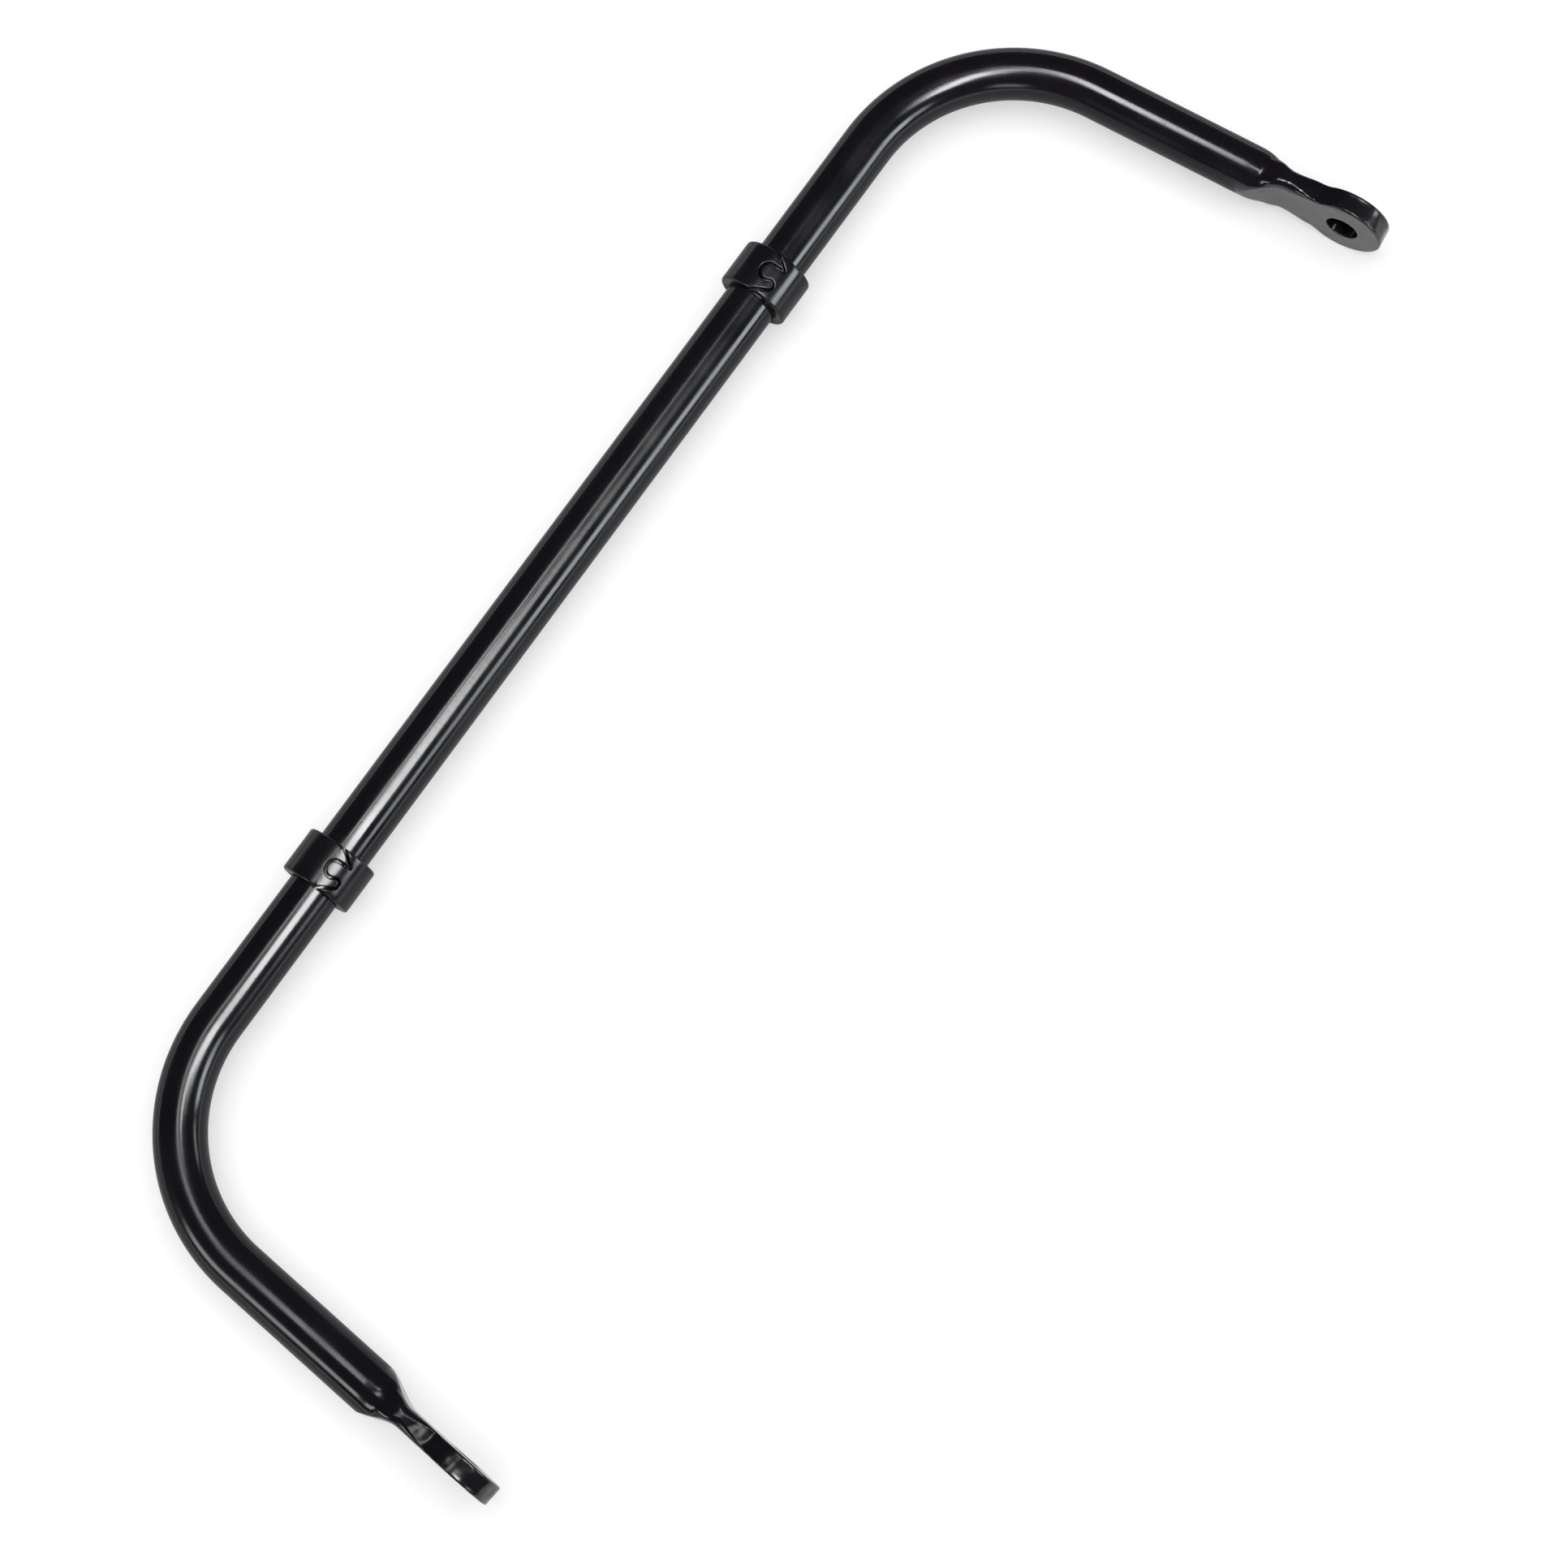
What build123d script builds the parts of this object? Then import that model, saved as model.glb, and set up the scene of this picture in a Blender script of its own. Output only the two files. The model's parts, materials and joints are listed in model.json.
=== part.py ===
from build123d import *
import math
import os

# A sway bar (anti-roll bar): one round spring-steel bar bent to a shallow U,
# both ends forged flat and drilled for the link studs, and two stop collars
# rolled round the straight section and closed by a puzzle-lock seam.
# X runs along the straight section, the arms reach towards -Y, Z is up.

# ---------------------------------------------------------------- dimensions
BAR_D = 20.0            # bar diameter at the arms, bends and bushing seats
MID_STEP = 0.3          # the bar stands this much prouder between the collars
HALF_SPAN = 268.0       # middle of the bar to the corner of the U
ARM_L = 168.0           # corner of the U to the middle of the link hole
SPLAY = 6.0             # degrees that each arm opens outwards
BEND_R = 68.0           # centreline radius of the two bends

EYE_D = 33.0            # round head of the forged end
HOLE_D = 12.5           # clearance hole for an M12 link stud
PLATE_T = 8.5           # thickness of the forged flat
PLATE_EDGE = 1.0        # rounding along the rim of the flat
SPREAD = 1.18           # the dies widen the bar this many times behind the eye
WAIST_R = 6.0           # hollow where the tongue meets the round eye
ROOT = 0.8              # width of the tongue inside the round bar, of its diameter
FLAT_L = 25.5           # full flat thickness starts here, from the hole centre
SHOULDER_L = 41.0       # the round bar ends here, from the hole centre

COLLAR_X = 139.0        # middle of the bar to the middle of a collar
COLLAR_W = 18.0         # axial length of a collar
COLLAR_WALL = 4.3       # strip thickness of a collar
COLLAR_EDGE = 0.9       # rounding of the collar's outer edges
SEAM_TILTS = (29.0, 17.0)   # degrees that each seam leans towards the arms: left, right
SEAM_GAP = 0.9          # open width of the puzzle-lock seam
KNOB_R = 3.3            # radius of the puzzle lock's knob
KNOB_AT = (0.4, 2.6)    # middle of the knob, from the middle of the collar
HOOK_R = 1.9            # radius of the smaller hook that locks it in
HOOK_TURN = 217.0       # degrees that the seam runs round the knob before the hook
CORNER_AT = (4.0, -2.9)     # corner between the knob's side and the right lead-in
MOUTHS = (4.6, 4.6)     # where the seam leaves the collar's edges: left, right

# ------------------------------------------------------------ derived sizes
BAR_R = BAR_D / 2
EYE_R = EYE_D / 2
COLLAR_R = BAR_R + COLLAR_WALL
turn = 90.0 - SPLAY                          # turn of each bend in degrees
setback = BEND_R * math.tan(math.radians(turn / 2))
s, c = math.sin(math.radians(SPLAY)), math.cos(math.radians(SPLAY))


def arm_point(side, along):
    """Point on an arm's centreline, measured from the corner of the U."""
    return Vector(side * (HALF_SPAN + along * s), -along * c, 0)


# ----------------------------------------------------- the bar's centreline
def bar_path():
    end = ARM_L - FLAT_L / 2                 # runs on inside the flat
    half = HALF_SPAN - setback
    bend_mid = BEND_R * (1 / math.cos(math.radians(turn / 2)) - 1)
    edges = []
    points = []
    for side in (-1, 1):
        # the arc's middle lies on the bisector of the corner
        inward = (arm_point(side, 1) - arm_point(side, 0)).normalized()
        bisect = (inward + Vector(-side, 0, 0)).normalized()
        middle = arm_point(side, 0) + bisect * bend_mid
        points.append((arm_point(side, end), arm_point(side, setback),
                       middle, Vector(side * half, 0, 0)))
    left, right = points
    edges.append(Line(left[0], left[1]))
    edges.append(ThreePointArc(left[1], left[2], left[3]))
    edges.append(Line(left[3], right[3]))
    edges.append(ThreePointArc(right[3], right[2], right[1]))
    edges.append(Line(right[1], right[0]))
    return Wire(edges), left[0], (left[1] - left[0]).normalized()


# ------------------------------------------------------------ a forged end
# Each end is made at the origin: x towards the tip, y across, the hole along z.
def squeezed_away():
    """What the two dies press out of the round bar, above and below the flat."""
    t, far = PLATE_T / 2, BAR_R + 2
    with BuildSketch(Plane.XZ) as side_view:
        with BuildLine():
            Spline((-SHOULDER_L, BAR_R), (-FLAT_L, t),
                   tangents=[(1, -0.2), (1, -0.1)], tangent_scalars=[0.9, 1.2])
            Polyline((-FLAT_L, t), (EYE_R, t), (EYE_R, far), (-SHOULDER_L, far),
                     (-SHOULDER_L, BAR_R))
        make_face()
    upper = extrude(side_view.sketch, amount=far, both=True)
    return [upper, mirror(upper, about=Plane.XY)]


def flat_tongue():
    """The flat itself: a waisted tongue running into a round eye."""
    t, w = PLATE_T / 2, SPREAD * BAR_R
    root_x, wide_x = -SHOULDER_L + 2, -FLAT_L - 4
    profile = [(root_x, ROOT * BAR_R), (wide_x, w), (-HOLE_D / 2, w)]
    tongue = make_face(Polyline(*profile, *[(x, -y) for x, y in reversed(profile)],
                                close=True))
    outline = tongue + Circle(EYE_R)
    waist = [v for v in outline.vertices() if -EYE_R < v.X < -HOLE_D / 2]
    outline = fillet(waist, WAIST_R)
    bulge = [v for v in outline.vertices() if abs(v.X - wide_x) < 1e-3]
    outline = fillet(bulge, BEND_R / 2)
    flat = extrude(outline, amount=t, both=True)
    rims = [e for e in flat.edges() if abs(e.center().Z) > t - 1e-3
            and e.center().X > root_x + 1e-3]
    return fillet(rims, PLATE_EDGE)


# ------------------------------------------------------------------ the bar
path, start, heading = bar_path()
bar = sweep(Plane(start, z_dir=heading) * Circle(BAR_R), path=path)
bar += Plane.YZ * Cylinder(BAR_R + MID_STEP, 2 * COLLAR_X - COLLAR_W)

for side in (-1, 1):
    outward = (arm_point(side, 1) - arm_point(side, 0)).normalized()
    seat = Plane(origin=arm_point(side, ARM_L), x_dir=outward,
                 z_dir=outward.cross(Vector(0, 0, 1)))
    for waste in squeezed_away():
        bar -= seat * waste
    bar += seat * flat_tongue()
    bar -= seat * Cylinder(HOLE_D / 2, 4 * PLATE_T)
bar = bar.solid()


# -------------------------------------------------------------- the collars
def seam_line():
    """A puzzle lock: slanted lead-in, corner, round the knob, back round the hook, lead-in."""
    edge = COLLAR_W / 2
    knob, corner = Vector(*KNOB_AT), Vector(*CORNER_AT)
    beside = knob + Vector(KNOB_R, 0)
    hook = knob + Vector(KNOB_R + HOOK_R, 0).rotate(Axis.Z, HOOK_TURN)
    # the left lead-in touches the hook from outside
    mouth = Vector(-edge, MOUTHS[0])
    reach = hook - mouth
    slope = math.degrees(math.atan2(reach.Y, reach.X) - math.asin(HOOK_R / reach.length))
    touch = hook + Vector(HOOK_R, 0).rotate(Axis.Z, slope - 90)
    right = Vector(edge, MOUTHS[1])
    Line(right + (right - corner) * 0.3, corner)
    Line(corner, beside)
    CenterArc(knob, KNOB_R, 0, HOOK_TURN)
    CenterArc(hook, HOOK_R, HOOK_TURN - 180, slope - 90 - (HOOK_TURN - 180))
    Line(touch, mouth + (mouth - touch) * 0.2)


def collar():
    """Made round the X axis with its seam at +Z."""
    ring = Plane.YZ * (Cylinder(COLLAR_R, COLLAR_W) - Cylinder(BAR_R, COLLAR_W))
    outer = [e for e in ring.edges().filter_by(GeomType.CIRCLE)
             if abs(e.radius - COLLAR_R) < 1e-3]
    ring = fillet(outer, COLLAR_EDGE)

    with BuildSketch() as kerf:
        with BuildLine() as seam:
            seam_line()
        trace(seam.edges(), line_width=SEAM_GAP)
    cutter = extrude(kerf.sketch, amount=COLLAR_R + 2)
    return (ring - cutter).solid()


blank = collar()
collars = {}
for name, side, tilt in zip(("stop_collar_left", "stop_collar_right"), (-1, 1), SEAM_TILTS):
    collars[name] = Pos(side * COLLAR_X, 0, 0) * Rot(tilt, 0, 0) * blank

# ------------------------------------------------------------ placed pieces
pieces = {"sway_bar": bar, **collars}
# the frame's origin is under the middle of the whole part
box = Compound(list(pieces.values())).bounding_box()
drop = Pos(-(box.min.X + box.max.X) / 2, -(box.min.Y + box.max.Y) / 2, -box.min.Z)

os.makedirs("parts", exist_ok=True)
for name, shape in pieces.items():
    placed = drop * shape
    print(name, type(placed).__name__, len(placed.solids()), "solid, volume",
          round(placed.volume), "mm3, box", placed.bounding_box())
    export_step(placed, f"parts/{name}.step")
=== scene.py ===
# %% [markdown]
# # A sway bar in Blender
# A sway bar ties the two wheels of an axle together. It is one length of round
# spring steel, bent to a shallow U, with both ends forged flat and drilled for
# the drop links. Two stop collars are crimped on so that the bar can't wander
# sideways in its bushings. The CAD model is loaded first as a fixed frame: it
# says where everything is, and nothing here may leave its box.

# %% Load the frame
import json
import math

import bmesh
import bpy
import numpy as np
from mathutils import Matrix, Vector, noise
from mathutils.geometry import delaunay_2d_cdt


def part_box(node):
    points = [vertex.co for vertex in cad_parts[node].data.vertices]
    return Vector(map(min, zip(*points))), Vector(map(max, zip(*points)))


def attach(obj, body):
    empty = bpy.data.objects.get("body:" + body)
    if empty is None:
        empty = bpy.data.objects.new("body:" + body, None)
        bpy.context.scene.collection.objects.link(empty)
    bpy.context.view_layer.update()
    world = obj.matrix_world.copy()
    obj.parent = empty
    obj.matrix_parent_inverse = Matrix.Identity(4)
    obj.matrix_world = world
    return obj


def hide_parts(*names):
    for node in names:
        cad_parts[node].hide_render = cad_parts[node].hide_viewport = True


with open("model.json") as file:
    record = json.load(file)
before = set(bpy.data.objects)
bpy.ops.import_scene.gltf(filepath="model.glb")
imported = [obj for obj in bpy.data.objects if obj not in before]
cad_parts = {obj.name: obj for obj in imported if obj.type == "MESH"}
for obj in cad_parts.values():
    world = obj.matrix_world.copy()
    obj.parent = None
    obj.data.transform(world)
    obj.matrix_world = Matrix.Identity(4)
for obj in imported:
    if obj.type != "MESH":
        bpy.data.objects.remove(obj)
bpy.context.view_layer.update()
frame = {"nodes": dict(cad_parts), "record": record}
print("CAD nodes:", sorted(frame["nodes"]))

# %% [markdown]
# ## The sizes of the real piece
# Everything is in metres. The link holes and the bushing seats are mounts in
# the record, so the middle of each eye and the height of the bar come from
# there. The rest are the sizes a maker would write on the drawing.

# %% Read the places and name the sizes
MM = 0.001
mounts = {m["name"]: m for m in frame["record"]["mounts"]}
seat = Vector(mounts["bushing_seat_right"]["pos_m"])
BAR_Y, BAR_Z = seat.y, seat.z
EYE = {side: Vector(mounts["link_hole_" + name]["pos_m"])
       for side, name in ((-1, "left"), (1, "right"))}
BAR_R = mounts["bushing_seat_right"]["dims"]["r_mm"] * MM
HOLE_R = mounts["link_hole_right"]["dims"]["r_mm"] * MM
HALF_T = mounts["link_hole_right"]["dims"]["length_mm"] * MM / 2
EYE_R = (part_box("sway_bar")[1].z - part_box("sway_bar")[0].z) / 2
CORNER_X = 268 * MM                   # middle of the bar to the corner of the U
BEND_R = 68 * MM                      # the bends, along the bar's centreline
MID_R = 10.3 * MM                     # the thicker section between the collars
MID_HALF_L = 131 * MM                 # from the middle to where that section ends
MID_STEP_L = 1.5 * MM                 # length of the step down to the bar's radius
print("bar axis at y %.4f z %.4f, eye radius %.4f" % (BAR_Y, BAR_Z, EYE_R))

# %% [markdown]
# ## Helpers for node trees
# A material can be drawn by hand in the node editor or built in a script. The
# script is longer, but each number in it can have a name.

# %% Place and feed nodes
def add(tree, kind, at, **values):
    """A new node, with its settings and its inputs' values by name."""
    node = tree.nodes.new(kind)
    node.location = at
    for key, value in values.items():
        name = key.replace("_", " ")
        if name in node.inputs:
            node.inputs[name].default_value = value
        else:
            setattr(node, key, value)
    return node


def feed(tree, socket, value):
    """Links another node's output into the socket, or sets the socket to a value."""
    if isinstance(value, bpy.types.NodeSocket):
        tree.links.new(value, socket)
    else:
        socket.default_value = value


print("nodes can be placed and fed")

# %% [markdown]
# Math, Map Range, Mix and Noise nodes come up again and again, so each gets a
# function. It returns the node's output, which the next call takes as a value.

# %% One-line nodes
def calc(tree, at, operation, *values):
    """The result of a Math node."""
    node = add(tree, "ShaderNodeMath", at, operation=operation)
    for socket, value in zip(node.inputs, values):
        feed(tree, socket, value)
    return node.outputs[0]


def mapped(tree, at, source, low, high, to_low=0.0, to_high=1.0):
    """source, from low to high, mapped onto to_low to to_high."""
    node = add(tree, "ShaderNodeMapRange", at)
    for name, value in (("Value", source), ("From Min", low), ("From Max", high),
                        ("To Min", to_low), ("To Max", to_high)):
        feed(tree, node.inputs[name], value)
    return node.outputs["Result"]


def mixed(tree, at, kind, factor, first, second):
    """A Mix node between two colours (RGBA) or two numbers (FLOAT)."""
    node = add(tree, "ShaderNodeMix", at, data_type=kind)
    for name, value in (("Factor", factor), ("A", first), ("B", second)):
        feed(tree, node.inputs[name], value)
    return node.outputs["Result"]


def speckle(tree, place, at, scale, detail=2.0, roughness=0.5):
    """Noise with its middle near 0.5. scale is its cells per metre."""
    node = add(tree, "ShaderNodeTexNoise", at, Scale=scale, Detail=detail, Roughness=roughness)
    feed(tree, node.inputs["Vector"], place)
    return node.outputs["Fac"]


print("node helpers ready")

# %% [markdown]
# ## The finish: sprayed black gloss over forged steel
# The paint is a dielectric, so its colour is set once, nearly black with a
# breath of violet, and all that the eye sees is reflection. A mirror-smooth
# shader looks like plastic. Real sprayed paint is duller where it is thin or
# has been handled, and dust settles in it while it is wet. That could be
# painted as an image, but noise on Object coordinates needs no image and has
# no seams.

# %% Gloss that isn't quite even
PATCH_SCALE, PATCH_RANGE = 38.0, (0.3, 0.7)
DUST_SCALE, DUST_DETAIL, DUST_RANGE = 900.0, 1.0, (0.70, 0.78)
GLOSSIER, DULLER, DUST_DULLS = 0.05, 0.06, 0.10     # changes of roughness


def uneven_gloss(tree, place, rough):
    """The broad patches, and a roughness that follows them and the dust."""
    patches = speckle(tree, place, (-1200, 300), PATCH_SCALE)
    dust = speckle(tree, place, (-1200, 100), DUST_SCALE, DUST_DETAIL)
    gloss = mapped(tree, (-900, 300), patches, *PATCH_RANGE, rough - GLOSSIER, rough + DULLER)
    speck = mapped(tree, (-900, 100), dust, *DUST_RANGE)
    return patches, calc(tree, (-700, 200), "MULTIPLY_ADD", speck, DUST_DULLS, gloss)


print("gloss patches about", round(1 / PATCH_SCALE / MM), "mm across")

# %% [markdown]
# ### Chips at the worn edges
# Paint chips first at sharp edges, down to brown primer and bare metal. Each
# chip could be cut into the mesh, but it is finer than the mesh's faces. So
# the mesh carries a "worn" attribute that says how much an edge wears, and
# small Voronoi cells turn into chips only there, where a second noise allows.

# %% Small chips where the mesh is worn
CHIP_SCALE, CHIP_REACH = 420.0, 0.46
RAGGED_SCALE, RAGGED_DETAIL, RAGGED = 1500.0, 3.0, 0.5
LUCK_SCALE, LUCK_RANGE = 160.0, (0.52, 0.62)


def chips(tree, place):
    """1 inside a chip, and 0 on sound paint."""
    worn = add(tree, "ShaderNodeAttribute", (-1500, -500), attribute_name="worn").outputs["Fac"]
    cells = add(tree, "ShaderNodeTexVoronoi", (-1200, -400), Scale=CHIP_SCALE)
    feed(tree, cells.inputs["Vector"], place)
    ragged = speckle(tree, place, (-1200, -650), RAGGED_SCALE, RAGGED_DETAIL)
    spot = calc(tree, (-1000, -400), "MULTIPLY_ADD", ragged, RAGGED, cells.outputs["Distance"])
    luck = mapped(tree, (-1150, -1000), speckle(tree, place, (-1200, -850), LUCK_SCALE),
                  *LUCK_RANGE)
    chance = calc(tree, (-1000, -700), "MULTIPLY", worn, luck)
    reach = calc(tree, (-900, -750), "MULTIPLY", chance, CHIP_REACH)
    return calc(tree, (-800, -500), "LESS_THAN", spot, reach)


print("chips up to about", round(1 / CHIP_SCALE / MM, 1), "mm across")

# %% [markdown]
# ### The relief of the paint
# Sprayed gloss has orange peel, a fine pebbling a millimetre or two across,
# over the unevenness of the steel beneath. Both are hundredths of a millimetre
# deep, too shallow to model, so they are bumps that bend the reflections. The
# step at the edge of a chip is a third bump.

# %% Orange peel, uneven steel and the step into a chip
PEEL_DETAIL = 1.5
STEEL_SCALE, STEEL_DETAIL, STEEL_ROUGHNESS = 230.0, 3.0, 0.6
CHIP_DEPTH = 0.12 * MM


def bump(tree, at, height, distance, below=None, invert=False):
    """A Bump node, over the normal of the one below."""
    node = add(tree, "ShaderNodeBump", at, Distance=distance, invert=invert)
    feed(tree, node.inputs["Height"], height)
    if below:
        feed(tree, node.inputs["Normal"], below)
    return node.outputs["Normal"]


def relief(tree, place, chip, peel_scale, peel_depth, grit):
    """The three bumps, one over the other."""
    pebbles = speckle(tree, place, (-1200, -100), peel_scale, PEEL_DETAIL)
    peel = bump(tree, (-450, -200), pebbles, peel_depth)
    steel = speckle(tree, place, (-1200, -250), STEEL_SCALE, STEEL_DETAIL, STEEL_ROUGHNESS)
    under = bump(tree, (-250, -300), steel, grit, peel)
    return bump(tree, (-50, -400), chip, CHIP_DEPTH, under, invert=True)


print("orange peel, steel and chip bumps ready")

# %% [markdown]
# ### The two paints
# The long bar is drawn smooth before it is sprayed, so it gets the finest
# finish. The collars are cut from hot-rolled strip and are a little duller.
# One function mixes both, because they differ only in a few numbers.

# %% Mix the two paints
BLUE_BLACK = (0.0042, 0.0036, 0.0066, 1)
BROWN_BLACK = (0.0085, 0.0066, 0.0088, 1)
PRIMER = (0.20, 0.155, 0.125, 1)
PRIMER_ROUGH = 0.5
PAINT_IOR = 1.52


def gloss_paint(name, peel_scale, peel_depth, rough, grit):
    """Black gloss paint. grit is how deep the steel's unevenness shows through."""
    paint = bpy.data.materials.new(name)
    paint.use_nodes = True
    tree = paint.node_tree
    shader = tree.nodes["Principled BSDF"]
    place = add(tree, "ShaderNodeTexCoord", (-1500, 0)).outputs["Object"]
    patches, gloss = uneven_gloss(tree, place, rough)
    chip = chips(tree, place)
    black = mixed(tree, (-700, 500), "RGBA", patches, BLUE_BLACK, BROWN_BLACK)
    colour = mixed(tree, (-450, 400), "RGBA", chip, black, PRIMER)
    dulled = mixed(tree, (-450, 100), "FLOAT", chip, gloss, PRIMER_ROUGH)
    normal = relief(tree, place, chip, peel_scale, peel_depth, grit)
    for socket, value in (("Base Color", colour), ("Roughness", dulled), ("Normal", normal)):
        feed(tree, shader.inputs[socket], value)
    shader.inputs["IOR"].default_value = PAINT_IOR
    return paint


bar_paint = gloss_paint("bar_gloss_black", peel_scale=520.0, peel_depth=0.010 * MM,
                        rough=0.17, grit=0.006 * MM)
collar_paint = gloss_paint("collar_gloss_black", peel_scale=600.0, peel_depth=0.010 * MM,
                           rough=0.20, grit=0.010 * MM)
print("paints:", bar_paint.name, collar_paint.name)

# %% [markdown]
# ## The bent bar
# The real bar is bent cold or hot round two formers. It follows a rule: a
# path with two rounded corners, and a circle carried along it. It could be a
# curve object with a bevel, but Geometry Nodes keeps the drawing's sizes as
# inputs that a reader can change. The path itself is only four points.

# %% Draw the four-point path
JOIN_L = 46 * MM                      # this far from the hole the forged end takes over
SIDES = 96                            # points round the bar

CORNER = {side: Vector((side * CORNER_X, BAR_Y, BAR_Z)) for side in (-1, 1)}
HEADING = {side: (EYE[side] - CORNER[side]).normalized() for side in (-1, 1)}

path_data = bpy.data.curves.new("bar_path", "CURVE")
path_data.dimensions = "3D"
line = path_data.splines.new("POLY")
stops = [EYE[-1] - HEADING[-1] * JOIN_L, CORNER[-1], CORNER[1], EYE[1] - HEADING[1] * JOIN_L]
line.points.add(len(stops) - 1)
for point, stop in zip(line.points, stops):
    point.co = (*stop, 1)
path = bpy.data.objects.new("bar_path", path_data)
bpy.context.scene.collection.objects.link(path)
print("path from", tuple(round(v, 4) for v in stops[0]),
      "to", tuple(round(v, 4) for v in stops[-1]))

# %% [markdown]
# ### The node tree
# Fillet Curve rounds the corners, Resample Curve sets the rings, and Curve to
# Mesh carries the circle. The real bar stands a hair thicker between the
# collars than at its ends. That could be a second mesh, but it is one bar, so
# the circle's scale is worked out from its distance to the middle instead.

# %% Name the tree's inputs and work out the thickness
BEND_STEPS, RING_SPACING = 64, 2.0 * MM
BAR_INPUTS = (("Bend Radius", "NodeSocketFloat", BEND_R),
              ("Bend Steps", "NodeSocketInt", BEND_STEPS),
              ("Ring Spacing", "NodeSocketFloat", RING_SPACING),
              ("Bar Radius", "NodeSocketFloat", BAR_R),
              ("Centre Radius", "NodeSocketFloat", MID_R),
              ("Centre Half Length", "NodeSocketFloat", MID_HALF_L),
              ("Sides", "NodeSocketInt", SIDES),
              ("Paint", "NodeSocketMaterial", bar_paint))


def thickness(tree, sizes):
    """The circle's scale: the centre radius in the middle, the bar radius outside."""
    where = add(tree, "GeometryNodeInputPosition", (-900, -300))
    split = add(tree, "ShaderNodeSeparateXYZ", (-700, -300))
    feed(tree, split.inputs[0], where.outputs[0])
    away = calc(tree, (-550, -300), "ABSOLUTE", split.outputs["X"])
    edge = calc(tree, (-550, -450), "ADD", sizes["Centre Half Length"], MID_STEP_L)
    return mapped(tree, (-350, -300), away, sizes["Centre Half Length"], edge,
                  sizes["Centre Radius"], sizes["Bar Radius"])


print("inputs:", [name for name, kind, value in BAR_INPUTS])

# %% [markdown]
# The rest of the tree is one line of nodes from the path to the painted bar.
# It ends in Realize Instances and Set Material, so that nothing is lost when
# the bar is exported.

# %% Build the tree that carries a circle along the path
def bent_bar_tree():
    """Rounded path, rings, the circle carried along them, and the paint."""
    tree = bpy.data.node_groups.new("bent_bar", "GeometryNodeTree")
    for way in ("INPUT", "OUTPUT"):
        tree.interface.new_socket("Geometry", in_out=way, socket_type="NodeSocketGeometry")
    for name, kind, value in BAR_INPUTS:
        tree.interface.new_socket(name, in_out="INPUT", socket_type=kind).default_value = value
    sizes = add(tree, "NodeGroupInput", (-900, 0)).outputs
    bend = add(tree, "GeometryNodeFilletCurve", (-600, 200), mode="POLY")
    rings = add(tree, "GeometryNodeResampleCurve", (-400, 200), mode="LENGTH")
    circle = add(tree, "GeometryNodeCurvePrimitiveCircle", (-350, 0), Radius=1.0)
    skin = add(tree, "GeometryNodeCurveToMesh", (-100, 100))
    smooth = add(tree, "GeometryNodeSetShadeSmooth", (100, 100))
    real = add(tree, "GeometryNodeRealizeInstances", (250, 100))
    coat = add(tree, "GeometryNodeSetMaterial", (400, 100))
    out = add(tree, "NodeGroupOutput", (600, 100))
    links = (
        (sizes["Geometry"], bend.inputs["Curve"]),
        (sizes["Bend Radius"], bend.inputs["Radius"]),
        (sizes["Bend Steps"], bend.inputs["Count"]),
        (bend.outputs["Curve"], rings.inputs["Curve"]),
        (sizes["Ring Spacing"], rings.inputs["Length"]),
        (sizes["Sides"], circle.inputs["Resolution"]),
        (rings.outputs["Curve"], skin.inputs["Curve"]),
        (circle.outputs["Curve"], skin.inputs["Profile Curve"]),
        (thickness(tree, sizes), skin.inputs["Scale"]),
        (skin.outputs["Mesh"], smooth.inputs[0]),
        (smooth.outputs[0], real.inputs[0]),
        (real.outputs[0], coat.inputs["Geometry"]),
        (sizes["Paint"], coat.inputs["Material"]),
        (coat.outputs[0], out.inputs[0]))
    for source, socket in links:
        tree.links.new(source, socket)
    return tree


path.modifiers.new("bent_bar", "NODES").node_group = bent_bar_tree()
print("modifier on the path:", path.modifiers[0].name)

# %% [markdown]
# The forged ends will be joined to the bar point by point. A modifier's result
# can't be edited, so it is turned into a plain mesh and the path is removed.

# %% Turn the bar into a plain mesh
bpy.context.view_layer.update()
baked = bpy.data.meshes.new_from_object(path.evaluated_get(bpy.context.evaluated_depsgraph_get()))
bar_points = [v.co.copy() for v in baked.vertices]
bar_faces = [tuple(p.vertices) for p in baked.polygons]
bpy.data.objects.remove(path)
print("bent bar:", len(bar_points), "points", len(bar_faces), "faces")

# %% [markdown]
# ## The forged ends
# The smith heats the end, squeezes it between two dies and trims it round. So
# each cross-section is the round bar, pressed flat from two sides until its
# rim bulges. The mesh is built the same way: rings of points run on from the
# bar, are pressed by the dies' curve and widened, and the last ring is
# stitched to a round plate with a hole. It could be sculpted from a cylinder,
# but in plain mesh code each ring's points line up with those of the bar.

# %% Sizes of one forged end, measured back from the hole
SHOULDER = 41 * MM                    # the dies start to bite
FLAT = 25.5 * MM                      # full flatness from here on
BITE_SLOPE, FLAT_SLOPE = -0.18, -0.1  # how steeply the dies' curve starts and ends
FLATTENS = 38 * MM, 27 * MM           # here the round section becomes a flat one
WIDENS = 37 * MM, 28 * MM             # here the steel is spread sideways
TRIMMED = 24 * MM, 14 * MM            # here the rim's rounding shrinks to that of the eye
WAIST = 11.8 * MM                     # half width behind the eye
HOLLOW_R = 6 * MM                     # fillet where the waist meets the eye
RIM_ROUND = 1.2 * MM                  # rounding along the rim of the eye
RIM_EXTRA = 2.2 * MM                  # and this much more where it isn't trimmed
DIE_ROUND, DIE_BITE = 0.5 * MM, 0.6 * MM    # soft edge left by the dies, and where it starts
HOLE_ROUND = 0.5 * MM
QUARTER, RIM_STEPS, ROUND_STEPS = SIDES // 4, 8, 5


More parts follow.
